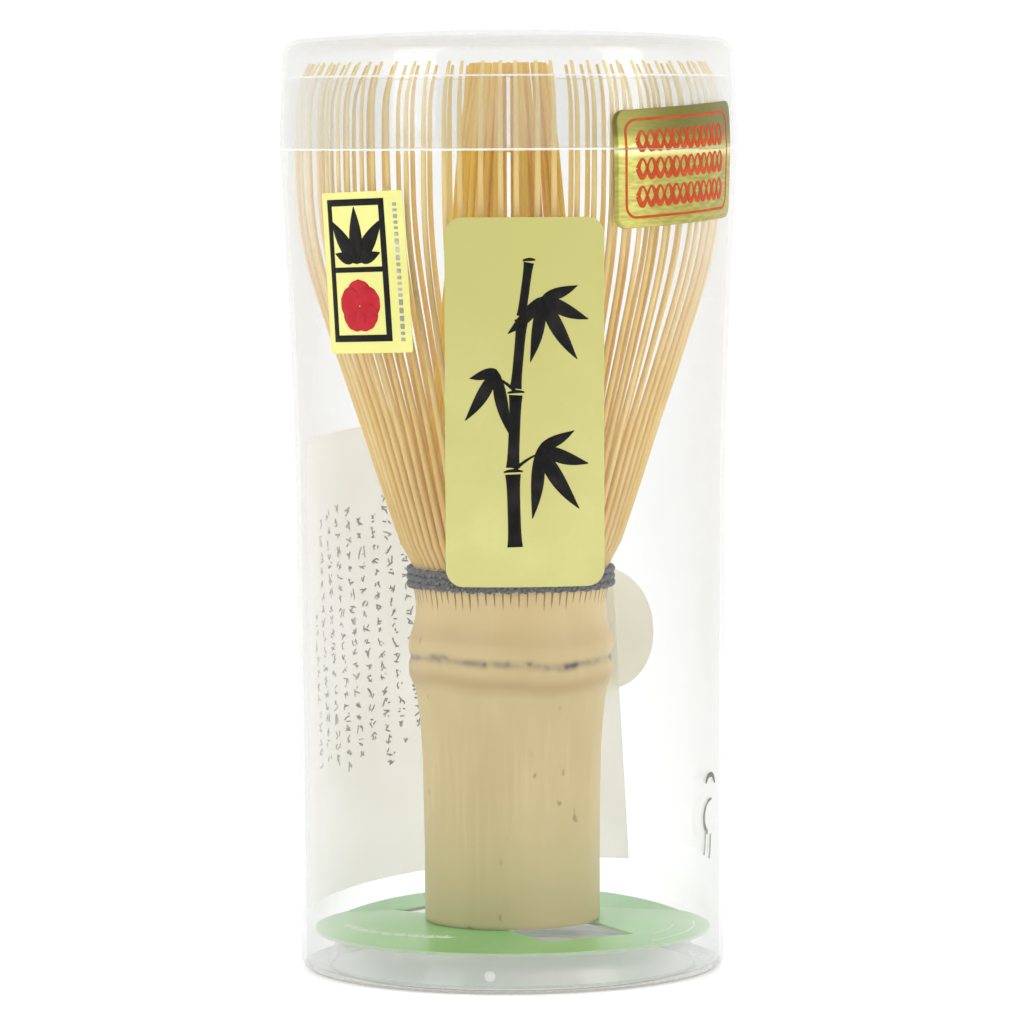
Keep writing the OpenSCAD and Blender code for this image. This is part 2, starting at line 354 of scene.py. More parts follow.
def cut_bamboo():
    """End grain: pale, with the dark dots of the fibre bundles closer together near the skin."""
    n = Nodes("bamboo_cut")
    cells = n.call("TexVoronoi", {"Vector": n.place(), "Scale": 1900}, "Distance")
    dots = n.fit(cells, 0.16, 0.34)
    soft = n.noise(300, 3.0)
    colour = n.mix(n.spread(soft), (206, 182, 132), (226, 206, 160))
    colour = n.mix(dots, (150, 118, 70), colour)
    return n.finish(n.principled(colour, n.spread(soft, 0.6, 0.8), n.bump(dots, 0.4, 0.05)))


def hollow_bamboo():
    """The soft pale pith inside the culm."""
    n = Nodes("bamboo_hollow")
    fibre = n.noise(300, 4.0, along=0.1)
    colour = n.mix(n.spread(fibre), (190, 160, 108), (222, 200, 152))
    return n.finish(n.principled(colour, n.spread(fibre, 0.7, 0.85), n.bump(fibre, 0.5, 0.15)))


def slit_dark():
    """The shadowed cuts between the tines where they run down into the culm."""
    n = Nodes("bamboo_slit_painted_shade")
    grain = n.noise(1200, 3.0, along=0.2)
    colour = n.mix(grain, (120, 88, 50), (164, 128, 80))
    return n.finish(n.principled(colour, n.spread(grain, 0.7, 0.9)))


def tine_bamboo(name, pale, deep, root, streak, tip, glow_share):
    """Split bamboo: long fibres, each tine a little lighter or deeper than the next, warm at the root."""
    n = Nodes(name)
    fibre = n.noise(700, 4.0, 0.6, along=0.03)
    fine = n.noise(2600, 3.0, 0.6, along=0.03)
    colour = n.mix(n.attribute("shade"), deep, pale)
    colour = n.mix(n.fit(fibre, 0.35, 0.7, 0, 0.45), colour, streak)
    colour = n.mix(n.fit(fine, 0.5, 0.8, 0, 0.3), colour, pale)
    colour = n.mix(n.fit(n.height(), SPLIT_Z * MM, (SPLIT_Z + 22) * MM, 0.5, 0), colour, root)
    colour = n.mix(n.fit(n.height(), (TIP_Z - 34) * MM, (TIP_Z - 4) * MM, 0, 0.6), colour, tip)
    rough = n.spread(fibre, 0.45, 0.62)
    solid = n.principled(colour, rough, n.bump(fibre, 0.4, 0.04), Specular_IOR_Level=0.35)
    return n.finish(n.translucent(glow_share, solid, colour))


def thread_cotton():
    """Charcoal cotton: fine filaments and a dusty sheen."""
    n = Nodes("thread")
    lint = n.noise(3200, 4.0, 0.6)
    colour = n.mix(n.fit(lint, 0.35, 0.7), (46, 46, 52), (104, 104, 110))
    return n.finish(n.principled(
        colour, n.spread(lint, 0.75, 0.9), n.bump(lint, 0.6, 0.06), Sheen_Weight=0.35, Sheen_Roughness=0.5))


def paper(name, light, dark, rough, see_through=0.0, upper=None):
    """Matte paper: short fibres, soft unevenness, and where given a painted shade towards its upper end."""
    n = Nodes(name)
    fibre = n.noise(900, 4.0, 0.65)
    cloud = n.noise(70, 2.0)
    colour = n.mix(n.spread(cloud), dark, light)
    colour = n.mix(n.fit(fibre, 0.45, 0.75, 0, 0.3), colour, dark)
    if upper:
        # painted shade: the paper darker towards its upper end
        colour = n.mix(n.fit(n.height(), 0.055, 0.104), colour, upper)
    sheet = n.principled(colour, n.spread(fibre, rough - 0.08, rough + 0.08), n.bump(fibre, 0.35, 0.03))
    return n.finish(n.translucent(see_through, sheet, colour))


def card_stock():
    """Glazed card printed green on its upper face, with duller edges and underside."""
    n = Nodes("insert_card")
    fibre = n.noise(1100, 4.0)
    cloud = n.noise(90, 2.0)
    green = n.mix(n.spread(cloud), (120, 196, 104), (138, 208, 120))
    bare = n.mix(fibre, (158, 186, 146), (190, 208, 180))
    facing_up = n.upward(n.call("NewGeometry", {}, "Normal"))
    colour = n.mix(n.fit(facing_up, 0.6, 0.8), bare, green)
    return n.finish(n.principled(
        colour, n.spread(fibre, 0.34, 0.42), n.bump(fibre, 0.2, 0.02), Coat_Weight=0.45, Coat_Roughness=0.22))


def seal_foil():
    """Gold foil paper: brushed, uneven, a little crumpled along the joint it was pressed over; painted darker
    above the joint, with a painted highlight along it.
    """
    n = Nodes("seal_foil")
    brush = n.noise(520, 4.0, along=5)
    cloud = n.noise(120, 2.0)
    colour = n.mix(n.spread(brush), (150, 144, 66), (178, 172, 92))
    # painted shade: the foil above the joint, on the cap, darker
    painted_shade_above_joint = n.fit(n.height(), (RIM_Z + 0.4) * MM, (RIM_Z + 2.4) * MM, 0, 0.85)
    colour = n.mix(painted_shade_above_joint, colour, (104, 100, 38))
    # painted highlight: a pale line along the fold at the joint
    from_joint = n.math("ABSOLUTE", n.math("SUBTRACT", n.height(), (RIM_Z - 0.3) * MM))
    colour = n.mix(n.fit(from_joint, 0.0, 0.0011, 0.75, 0), colour, (236, 230, 164))
    crumple = n.noise(190, 3.0, along=2.5)
    return n.finish(n.principled(
        colour, n.spread(cloud, 0.28, 0.42), n.bump(crumple, 0.5, 0.25), Metallic=0.55))


def ink(name, dark, light, rough=0.5):
    """Printed ink, a little thin and uneven."""
    n = Nodes(name)
    wash = n.noise(420, 4.0)
    return n.finish(n.principled(
        n.mix(n.fit(wash, 0.4, 0.75), dark, light), n.spread(wash, rough - 0.1, rough + 0.1),
        n.bump(wash, 0.2, 0.02), Specular_IOR_Level=0.15))


MAT = {
    "case": clear_plastic("clear_plastic_case", 0.012, 0.45),
    "cap": clear_plastic("clear_plastic_cap", 0.06, 0.42),
    # painted light: the edge, seam and stub materials are pale and faintly glowing for the highlights on the
    # plastic; the foot one is a grey painted shade for the foot ring's lowest band
    "edge": plastic_painted_light("clear_plastic_edge_painted_highlight", 0.8),
    "seam": plastic_painted_light("clear_plastic_seam_painted_highlight", 0.62),
    "stub": plastic_painted_light("clear_plastic_stub_painted_highlight", 0.22),
    "foot": plastic_painted_light("clear_plastic_foot_painted_shade", 0.6, (150, 146, 136), (178, 174, 164), 0.0),
    "culm": culm_bamboo(),
    "cut": cut_bamboo(),
    "hollow": hollow_bamboo(),
    "slit": slit_dark(),
    "outer": tine_bamboo(
        "bamboo_outer_tines", (254, 236, 166), (246, 217, 128), (230, 196, 124),
        (234, 196, 98), (255, 242, 180), 0.35),
    # painted light: the inner tines are a brighter, yellower copy of the bamboo that lifts the shade inside
    # the bundle
    "inner": tine_bamboo(
        "bamboo_inner_tines", (255, 243, 124), (255, 230, 84), (249, 212, 100),
        (255, 214, 64), (255, 235, 106), 0.58),
    "thread": thread_cotton(),
    # the front label's upper tone is painted shade: darker towards its top
    "front": paper(
        "label_paper_front", (203, 200, 130), (192, 188, 117), 0.62, upper=(184, 180, 106)),
    "side": paper("label_paper_side", (232, 230, 142), (220, 217, 128), 0.6),
    "rear": paper("plain_label_paper", (250, 248, 238), (243, 241, 230), 0.75, see_through=0.8),
    "leaflet": paper("leaflet_paper", (255, 254, 251), (251, 250, 245), 0.82, see_through=0.88),
    "card": card_stock(),
    "foil": seal_foil(),
    "black": ink("ink_black", (14, 14, 13), (34, 32, 30)),
    "red": ink("ink_red", (182, 32, 44), (192, 46, 56)),
    "orange": ink("ink_orange", (182, 66, 24), (194, 88, 40)),
    "grey": ink("ink_grey", (150, 150, 146), (196, 195, 190), 0.8),
    "pencil": ink("ink_pencil", (118, 118, 112), (160, 160, 154), 0.8),
    "white": ink("ink_white", (226, 240, 220), (206, 230, 200), 0.6),
}

# ---- case and cap

WALL = 0.7            # thickness of the case wall
NECK_WALL = 0.55
CAP_WALL = 0.55
CAP_FIT = 0.1         # gap between the neck and the cap
FOOT_R = 29.3
LEAN = 0.005          # how much the wall leans outwards
FLARE_Z = 66          # height where the wall begins to flare towards the rim
FLARE = RIM_R - FOOT_R - LEAN * RIM_Z
PANEL_Z = 5.1         # upper face of the raised base panel
PANEL_R = 23.6
FOOT_IN_R = 25
CORNER = 1.5          # rounding of the lower edge
SKIRT_H = 12.6
SKIRT_DRAW = 0.5      # how far the cap narrows towards its shoulder
SHOULDER_R = 2.6
DOME = TOP_Z - RIM_Z - SKIRT_H - SHOULDER_R


def case_r(z):
    return FOOT_R + LEAN * z + FLARE * max(0, (z - FLARE_Z) / (RIM_Z - FLARE_Z)) ** 1.6


def skirt_r(z):
    return RIM_R - SKIRT_DRAW * (max(0, z - RIM_Z) / SKIRT_H) ** 1.5


def neck_r(z):
    return skirt_r(z) - CAP_WALL - CAP_FIT


def arc(mid_r, mid_z, radius, start, end, steps):
    return [(mid_r + radius * math.cos(math.radians(a)), mid_z + radius * math.sin(math.radians(a)))
            for a in np.linspace(start, end, steps)]


def case_shell():
    levels = list(np.arange(3, RIM_Z - 4.9, 2.5))
    bend = 1.4        # rounding where the base panel turns down to the foot ring
    outside = (
        [(0, PANEL_Z - WALL), (PANEL_R - bend, PANEL_Z - WALL)]
        + arc(PANEL_R - bend, PANEL_Z - WALL - bend, bend, 80, 10, 6)
        + [(FOOT_IN_R - 0.15, 0.7)] + arc(FOOT_IN_R + 0.35, 0.5, 0.5, 190, 270, 5)
        + arc(case_r(CORNER) - CORNER, CORNER, CORNER, -90, 0, 12)
        + [(case_r(z), z) for z in levels]
        + [(case_r(z), z) for z in np.linspace(levels[-1] + 1, RIM_Z - 0.25, 4)]
        + [(case_r(RIM_Z) - 0.04, RIM_Z - 0.08), (case_r(RIM_Z) - 0.2, RIM_Z)]
        + [(neck_r(RIM_Z) + 0.06, RIM_Z), (neck_r(RIM_Z), RIM_Z + 0.1)]
        + [(neck_r(z), z) for z in np.linspace(RIM_Z + 1.5, LIP_Z - 0.25, 7)])
    lip_mid = neck_r(LIP_Z) - NECK_WALL / 2
    lip = arc(lip_mid, LIP_Z - NECK_WALL / 2, NECK_WALL / 2, 20, 160, 8)
    inside = (
        [(neck_r(RIM_Z) - NECK_WALL, RIM_Z)] + [(case_r(z) - WALL, z) for z in reversed(levels)]
        + arc(case_r(0) - CORNER, CORNER, CORNER - WALL, 0, -90, 8)
        + [(FOOT_IN_R + WALL, WALL), (PANEL_R + WALL, PANEL_Z - 1), (PANEL_R - 0.4, PANEL_Z), (0, PANEL_Z)])

    def slot_of(r, z):
        at_lip = z > LIP_Z - NECK_WALL / 2
        at_rim = abs(z - RIM_Z) < 0.1 and r > neck_r(RIM_Z) - 0.1
        # painted shade: the lowest band of the foot ring takes the grey foot material; painted highlight: the
        # lip and rim bands take the pale edge material
        if z < 0.5 and r > FOOT_IN_R:
            return 2
        return 1 if at_lip or at_rim else 0
    turned = lathe(outside + lip + inside, slot_of)
    return sharpen(weld(turned.make("clear_case", MAT["case"], MAT["edge"], MAT["foot"])), 40)


def case_cap():
    middle = skirt_r(RIM_Z + SKIRT_H) - SHOULDER_R
    edge_z = RIM_Z + 0.05

    def dome(drop):
        return [(middle * s, RIM_Z + SKIRT_H + SHOULDER_R - drop + DOME * (1 - s * s))
                for s in np.linspace(0.94, 0, 12)]
    skirt = [(skirt_r(z), z) for z in np.linspace(edge_z + 0.3, RIM_Z + SKIRT_H, 9)]
    inner_skirt = [(r - CAP_WALL, z) for r, z in skirt]
    shoulder, inner_shoulder = (
        arc(middle, RIM_Z + SKIRT_H, SHOULDER_R - drop, 5, 90, 14) for drop in (0, CAP_WALL))
    lower_edge = arc(RIM_R - CAP_WALL / 2, edge_z + CAP_WALL / 2, CAP_WALL / 2, 190, 350, 8)
    inside = inner_skirt + inner_shoulder + dome(CAP_WALL)
    outline = skirt + shoulder + dome(0) + inside[::-1] + lower_edge
    # painted highlight: the cap's rounded lower edge takes the pale edge material
    turned = lathe(outline, lambda r, z: 1 if z < edge_z + 0.15 else 0)
    return sharpen(weld(turned.make("clear_cap", MAT["cap"], MAT["edge"])), 40)


def mould_seam():
    """The fine raised line that the mould left down the front of the case, seen through the cap too."""
    width = 0.5

    def strip(build, r_of, z0, z1):
        rows_out, rows_in = [], []
        for z in np.linspace(z0, z1, 24):
            r = r_of(z)
            azimuths = [(s * width / 2) / r for s in (-1, -0.4, 0.4, 1)]
            rows_out.append([on_ring(r + d, a, z) for a, d in zip(azimuths, (0.0, 0.05, 0.05, 0.0))])
            rows_in.append([on_ring(r - 0.03, a, z) for a in azimuths])
        build.slab(rows_out, rows_in)
    build = Build()
    strip(build, neck_r, RIM_Z + 0.3, LIP_Z - 0.3)
    strip(build, case_r, RIM_Z - 12, RIM_Z - 0.3)
    # painted highlight: the seam's material is pale and faintly glowing
    return build.make("mould_seam", MAT["seam"])


def gate_stub():
    """The little stub at the front of the foot where the moulding was cut from its gate."""
    build = Build()
    azimuth = math.radians(-6)
    base = case_r(3) - 0.1
    rows = []
    for out, size in ((0, 0.75), (0.25, 0.68), (0.42, 0.5), (0.48, 0.2)):
        rows.append([on_ring(base + out, azimuth + size * math.cos(a) / base, 2.6 + size * math.sin(a))
                     for a in np.linspace(0, TAU, 16, endpoint=False)])
    build.grid(rows, around=True, caps=True)
    # painted highlight: the stub's material is pale and faintly glowing
    return build.make("gate_stub", MAT["stub"])


# ---- paper on the wall


def on_wall(azimuth, z_mid, tilt=0.0, wall=case_r):
    """Places label coordinates (s across, t up, lift off the wall) on the wall, all in millimetres."""
    mid = math.radians(azimuth)
    cos, sin = math.cos(math.radians(tilt)), math.sin(math.radians(tilt))

    def place(s, t, lift):
        across, up = s * cos - t * sin, s * sin + t * cos
        z = z_mid + up
        return on_ring(wall(z) + lift, mid + across / wall(z), z)
    return place


def rounded_rows(w, h, r, across, up):
    """Rows of (s, t) that fill a rounded rectangle, with across points in a row and about up rows."""
    corner = [h / 2 - r + r * math.sin(a) for a in np.linspace(0, math.pi / 2, 7)]
    levels = [-t for t in reversed(corner)] + list(np.linspace(-h / 2 + r, h / 2 - r, up))[1:-1] + corner
    rows = []
    for t in levels:
        over = max(0, abs(t) - (h / 2 - r))
        half = w / 2 - r + math.sqrt(max(0, r * r - over * over))
        rows.append([(s * half, t) for s in np.linspace(-1, 1, across)])
    return rows


LABEL_TOP = 0.17      # outer face of a label above the wall
LABEL_BACK = 0.02
INK_TOP = 0.2


def sheet(build, place, rows):
    """A label's thin sheet over rows of (s, t)."""
    build.slab(*([[place(s, t, lift) for s, t in row] for row in rows] for lift in (LABEL_TOP, LABEL_BACK)))


def label(name, material, place, w, h, r):
    build = Build()
    sheet(build, place, rounded_rows(w, h, r, 28, 40))
    return sharpen(build.make(name, material), 50)


def stroke(build, place, points, widths, top=INK_TOP, bottom=LABEL_TOP - 0.02, slot=0):
    """A painted stroke along points, with a width at each of them."""
    outer, inner = [], []
    for i, (s, t) in enumerate(points):
        before, after = points[max(0, i - 1)], points[min(len(points) - 1, i + 1)]
        ds, dt = after[0] - before[0], after[1] - before[1]
        length = math.hypot(ds, dt) or 1
        ns, nt = -dt / length, ds / length
        row = [(s + ns * k * widths[i] / 2, t + nt * k * widths[i] / 2) for k in (1, 0.5, 0, -0.5, -1)]
        outer.append([place(a, b, top) for a, b in row])
        inner.append([place(a, b, bottom) for a, b in row])
    build.slab(outer, inner, slot)


def bent_line(start, angle, length, bend, steps=12):
    """Points from start in a direction, turning by bend degrees over the whole length."""
    points = [start]
    for i in range(steps):
        a = math.radians(angle + bend * i / steps)
        s, t = points[-1]
        points.append((s + math.cos(a) * length / steps, t + math.sin(a) * length / steps))
    return points


def leaf(build, place, start, angle, length, width, bend=10, **settings):
    """A lens-shaped leaf: a fine stem, a full middle and a drawn-out point."""
    points = bent_line(start, angle, length, bend)
    shares = [(i / (len(points) - 1)) ** 0.75 for i in range(len(points))]
    widths = [max(0.12, width * math.sin(math.pi * share) ** 0.85) for share in shares]
    stroke(build, place, points, widths, **settings)


def between(a, b, steps):
    """Points from a to b, without b itself."""
    return [(a[0] + (b[0] - a[0]) * k / steps, a[1] + (b[1] - a[1]) * k / steps) for k in range(steps)]


def square_frame(build, place, w, h, line, mid):
    """The outline of a rectangle."""
    for side in (-1, 1):
        upright = [(mid[0] + side * w / 2, mid[1] + t) for t in np.linspace(-h / 2, h / 2, 16)]
        stroke(build, place, upright, [line] * 16)
        reach = w / 2 + line / 2
        level = [(mid[0] + s, mid[1] + side * h / 2) for s in np.linspace(-reach, reach, 10)]
        stroke(build, place, level, [line] * 10)


def round_frame(build, place, w, h, line, r):
    """The outline of a rectangle with rounded corners."""
    ring = []
    for sign_s, sign_t, start in ((1, 1, 0), (-1, 1, 90), (-1, -1, 180), (1, -1, 270)):
        for angle in range(start, start + 91, 15):
            a = math.radians(angle)
            ring.append((sign_s * (w / 2 - r) + r * math.cos(a), sign_t * (h / 2 - r) + r * math.sin(a)))
    ring.append(ring[0])
    dense = []
    for a, b in zip(ring, ring[1:]):
        dense += between(a, b, max(1, int(math.dist(a, b) / 1.2)))
    dense.append(ring[0])
    stroke(build, place, dense, [line] * len(dense))


# where each label is on the wall, its width, its height and the radius of its corners
FRONT_LABEL = (on_wall(4, 79.5), 21.6, 49.2, 2.4)
SIDE_LABEL = (on_wall(-39.5, 96.7, 2), 14.4, 21.6, 0.4)
SEAL_PLACE = (49.5, 110.9, 3.2)
SEAL_SIZE = (25.2, 15.8, 1.6)


def front_label_art():
    """A painted bamboo: a jointed stalk and three sprays of leaves."""
    on_label = FRONT_LABEL[0]

    def place(s, t, lift):
        return on_label(0.8 * s + 0.6, 0.96 * t, lift)
    build = Build()
    stalk = [(-2.6, -20.5), (-2.9, -9.5), (-2.4, 1.5), (-1.4, 11.5), (-0.2, 19.8)]
    for (s0, t0), (s1, t1) in zip(stalk, stalk[1:]):
        joint = between((s0, t0 + 0.45), (s1, t1 - 0.45), 10) + [(s1, t1 - 0.45)]
        thick = 2.1 - 0.9 * (t0 + 20) / 40
        stroke(build, place, joint, [thick * (1 + 0.22 * (0.2 * k - 1) ** 4) for k in range(11)])
        cuff = bent_line((s1 - thick * 0.72, t1 - 0.15), 12, thick * 1.5, -24, 6)
        stroke(build, place, cuff, [0.2, 0.34, 0.42, 0.46, 0.42, 0.34, 0.2])
    for root, out in (((-1.9, 11.5), 1), ((-2.8, -9.5), 1), ((-2.4, 1.5), -1)):
        twig = bent_line(root, 90 - 50 * out, 5.2, 24 * -out)
        stroke(build, place, twig, [0.55 - 0.03 * k for k in range(13)])
    sprays = (
        ((2.0, 14.6), ((-62, 10.5, 2.3), (-28, 8.5, 2.0), (-96, 9.2, 2.1), (8, 6.2, 1.6), (-132, 7.6, 1.9))),
        ((1.4, -6.2), ((-58, 11.0, 2.4), (-22, 8.8, 2.0), (-90, 10.0, 2.2), (14, 6.4, 1.6))),
        ((-5.6, 4.6), ((-120, 8.8, 2.0), (-82, 9.6, 2.1), (-158, 4.6, 1.4))))
    for root, leaves in sprays:
        for angle, length, width in leaves:
            leaf(build, place, root, angle, length, width, 14 if angle > -90 else -14)
    return build.make("front_label_art", MAT["black"])


def side_label_art():
    """A black frame with leaves above a small red flower, and a faint column of dashes."""
    place = SIDE_LABEL[0]
    build = Build()
    middle = -0.9
    square_frame(build, place, 9.4, 18.2, 0.9, (middle, 0.3))
    stroke(build, place, [(middle - 4.7 + 0.94 * k, 0.4) for k in range(11)], [0.7] * 11)
    for angle, length in ((52, 7.4), (90, 7.6), (128, 7.4)):
        leaf(build, place, (middle, 1.2), angle, length, 2.3, 0)
    for side in (-1, 1):
        leaf(build, place, (middle + side * 0.6, 1.5), 90 - side * 72, 3.6, 1.5, 0)
    for k in range(5):
        turn = math.radians(90 + 72 * k)
        petal = [(middle + r * math.cos(turn), -4.5 + r * math.sin(turn)) for r in np.linspace(0.1, 3.6, 12)]
        widths = [4.2 * math.sqrt(max(0.004, 1 - (2 * j / 11 - 1) ** 2)) for j in range(12)]
        stroke(build, place, petal, widths, slot=1)
    gap_maker = random.Random(4)
    t = 9.2
    while t > -9.5:
        dash = 0.35 + 0.45 * gap_maker.random()
        stroke(build, place, [(5.9, t), (5.9, t - dash / 2), (5.9, t - dash)], [0.55, 0.65, 0.55], slot=2)
        t -= dash + 0.35
    return build.make("side_label_art", MAT["black"], MAT["red"], MAT["grey"])


def wall_marks():
    """A few small grey pen strokes low on the right of the wall; they stand for no writing."""
    place = on_wall(65.6, 23.2, -8)
    build = Build()
    hook = bent_line((-1.6, 3.2), 74, 4.2, -150, 16)
    stroke(build, place, hook, [0.35 + 0.3 * math.sin(math.pi * j / 16) for j in range(17)])
    curl = bent_line((0.6, 1.2), 190, 6.4, 150, 20)
    stroke(build, place, curl, [0.3 + 0.35 * j / 20 for j in range(21)])
    for lean, drop in ((-0.9, -3.2), (0.9, -3.6)):
        stroke(build, place, bent_line((lean, drop), -82, 3.4, -16, 8), [0.35] * 9, slot=1)
    return build.make("wall_marks", MAT["pencil"], MAT["grey"])


def seal_halves():
    """The foil seal and its print, cut along the joint between cap and case."""
    azimuth, z_mid, tilt = SEAL_PLACE
    w, h, r = SEAL_SIZE
    sin, cos = math.sin(math.radians(tilt)), math.cos(math.radians(tilt))
    pieces = {}
    for part, wall, keep in (("lower", case_r, -1), ("upper", skirt_r, 1)):
        place = on_wall(azimuth, z_mid, tilt, wall)
        joint = RIM_Z + 0.06 * keep

        def fold(s, t, lift):
            """Slides points past the joint back onto it."""
            limit = (joint - z_mid - s * sin) / cos
            return place(s, min(t, limit) if keep < 0 else max(t, limit), lift)
        foil, art = Build(), Build()
        sheet(foil, fold, rounded_rows(w, h, r, 36, 24))
        pieces[part] = weld(foil.make("seal_foil_" + part, MAT["foil"]))
        round_frame(art, fold, w - 3.6, h - 2.8, 0.34, 1.6)
        for row in (3.7, 0.0, -3.7):
            for side in (-1, 1):
                turns = [TAU * j / 15 for j in range(91)]
                wave = [(-9.0 + 0.2 * j, row + side * 1.25 * math.sin(turn)) for j, turn in enumerate(turns)]
                stroke(art, fold, wave, [0.55 + 0.25 * math.cos(turn + side) for turn in turns])
        pieces[part + "_art"] = weld(art.make("seal_print_" + part, MAT["orange"]), 0.001)
    return pieces


def round_label():
    """The plain round sticker on the back of the case."""
    place = on_wall(154, 44.3)
    radius = 8.8
    rings, spokes = 10, 64

    def disc(lift):
        rows = []
        for k in range(1, rings + 1):
            r = radius * k / rings
            rows.append([place(r * math.cos(TAU * i / spokes), r * math.sin(TAU * i / spokes), lift)
                         for i in range(spokes)])
        return rows
    build = Build()
    top, bottom = disc(LABEL_TOP), disc(LABEL_BACK)
    build.grid(top[::-1] + [[place(0, 0, LABEL_TOP)] * spokes], around=True)
    build.grid([[place(0, 0, LABEL_BACK)] * spokes] + bottom, around=True)
    build.grid([bottom[-1], top[-1]], around=True)
    return sharpen(weld(build.make("round_sticker", MAT["rear"])), 50)


LEAFLET_R = corners("leaflet")[1][1] - 0.03
LEAFLET_FROM, LEAFLET_TO = -216.0, -95.0
LEAFLET_SLANT = math.tan(math.radians(3.5))
LEAFLET_H = 65
LEAFLET_Z = 9.2       # height of the lower edge where its plane crosses the axis
RISE_RIGHT, RISE_BACK = math.tan(math.radians(3.9)), math.tan(math.radians(3.1))


def leaflet_place(u, v, lift):
    """A place on the leaflet: u from its left to its slanted right edge, v from bottom to top, 0 to 1."""
    azimuth = math.radians(LEAFLET_TO + u * (LEAFLET_FROM - LEAFLET_TO))
    azimuth += u * v * LEAFLET_H * LEAFLET_SLANT / LEAFLET_R
    wave = 0.06 * math.sin(3.1 * u + 2.2 * v) - 0.06
    x, y, _ = on_ring(LEAFLET_R + wave + lift, azimuth, 0)
    return x, y, LEAFLET_Z + x * RISE_RIGHT + y * RISE_BACK + v * LEAFLET_H


def leaflet_sheet():
    build = Build()
    wide, high = 80, 40
    build.slab(*([[leaflet_place(i / wide, j / high, lift) for i in range(wide + 1)] for j in range(high + 1)]
                 for lift in (0.0, -0.12)))
    return sharpen(weld(build.make("leaflet_sheet", MAT["leaflet"]), 0.0005), 50)


def leaflet_print():
    """Columns of small faint brush marks on the inner face: random strokes that stand for no writing."""
    width = LEAFLET_R * math.radians(LEAFLET_TO - LEAFLET_FROM)
    top, bottom = 0.85 * LEAFLET_H, 0.23 * LEAFLET_H
    lean = math.tan(math.radians(4))

    def place(s, t, lift):
        return leaflet_place((s + (top - t) * lean) / width, t / LEAFLET_H, lift)
    build = Build()
    marks = random.Random(11)
    for column in range(9):
        s = 4.6 + 2.75 * column
        t = top - 4 * marks.random() - (13 if column == 0 else 0)
        end = bottom + 6 * marks.random()
        while t > end:
            tall = 1.0 + 0.8 * marks.random()
            wide = 0.5 + 0.35 * marks.random()
            for _ in range(4):
                side_a, side_b = (s + wide * marks.uniform(-1, 1) for _ in range(2))
                up_a, up_b = (t - tall * marks.random() for _ in range(2))
                middle = ((side_a + side_b) / 2 + 0.15 * marks.uniform(-1, 1), (up_a + up_b) / 2)
                points = [(side_a, up_a), middle, (side_b, up_b)]
                stroke(build, place, points, [0.14, 0.24, 0.16], top=-0.15, bottom=-0.11)
            t -= tall + 0.25 + 0.45 * marks.random()
    return build.make("leaflet_print", MAT["grey"])


def card_print():
    """Small pale leaves and two fine arcs printed near the edge of the card."""
    middle_top = FOOT_Z - 0.05
    level_r, fall = 13, 0.9       # the card is level out to here, then falls this much to its edge

    def place(s, t, lift):
        down = fall * max(0, math.hypot(s, t) - level_r) / (CARD_R - level_r)
        return s, t, middle_top - down + lift
    build = Build()
    for k in range(9):
        azimuth = -84 + 6.6 * k
        s, t, _ = on_ring(CARD_R - 3.8 - 0.6 * k, math.radians(azimuth), 0)
        for turn in (-50, 0, 50):
            leaf(build, place, (s, t), azimuth + 90 + turn, 2.0, 0.8, 0, top=0.02, bottom=-0.01)
    for radius, start, end in ((CARD_R - 2.2, 48, 96), (CARD_R - 5.0, 58, 86)):
        points = [on_ring(radius, math.radians(a), 0)[:2] for a in np.linspace(start, end, 40)]
        stroke(build, place, points, [0.3] * 40, top=0.02, bottom=-0.01)
    return build.make("card_print", MAT["white"])


# ---- whisk

LIP = HANDLE_HIGH[0]
CULM = LIP - 2.05
GROOVE = CULM + 1.72
WAIST = CULM + 1.0
ROOT = CULM + 1.45
NODE_H = 36.7
SPLIT_H = SPLIT_Z - FOOT_Z
BORE = 9.7
SEAT = ROOT - 0.15
TINES = 72
SECTORS = 12

CULM_LINE = [
    (0, CULM - 0.25), (0.35, CULM - 0.03), (2, CULM), (9, CULM), (16, CULM + 0.1), (22, CULM + 0.2),
    (27.7, CULM + 0.53), (30.6, CULM + 0.88), (32, CULM + 1.1), (33.3, LIP - 0.45), (34.3, LIP - 0.08),
    (35.6, LIP - 0.02), (36.3, GROOVE + 0.12), (NODE_H, GROOVE), (37.1, GROOVE + 0.12), (37.8, LIP - 0.02),
    (38.9, LIP - 0.1), (40.2, WAIST + 0.57), (41.5, WAIST + 0.2), (43, WAIST), (44.6, WAIST),
    (46.4, SEAT), (SPLIT_H, SEAT)]


def node_wave(azimuth):
    """How far up or down the node's line wanders round the culm."""
    return (0.3 * math.sin(2 * azimuth + 3.6) + 0.16 * math.sin(3 * azimuth + 3.4)
            + 0.12 * math.sin(7 * azimuth + 1.3))


def culm_radius(h, azimuth):
    pull = math.exp(-((h - NODE_H) / 4.5) ** 2)
    r = curve_through(CULM_LINE, h - node_wave(azimuth) * pull)
    oval = 1 + 0.006 * math.cos(2 * azimuth + 0.6) * ramp(SPLIT_H - 3 - h, 0, 10)
    lumps = 0.05 * math.sin(5 * azimuth + h * 0.25) * math.exp(-((h - NODE_H) / 6) ** 2)
    return r * oval + lumps


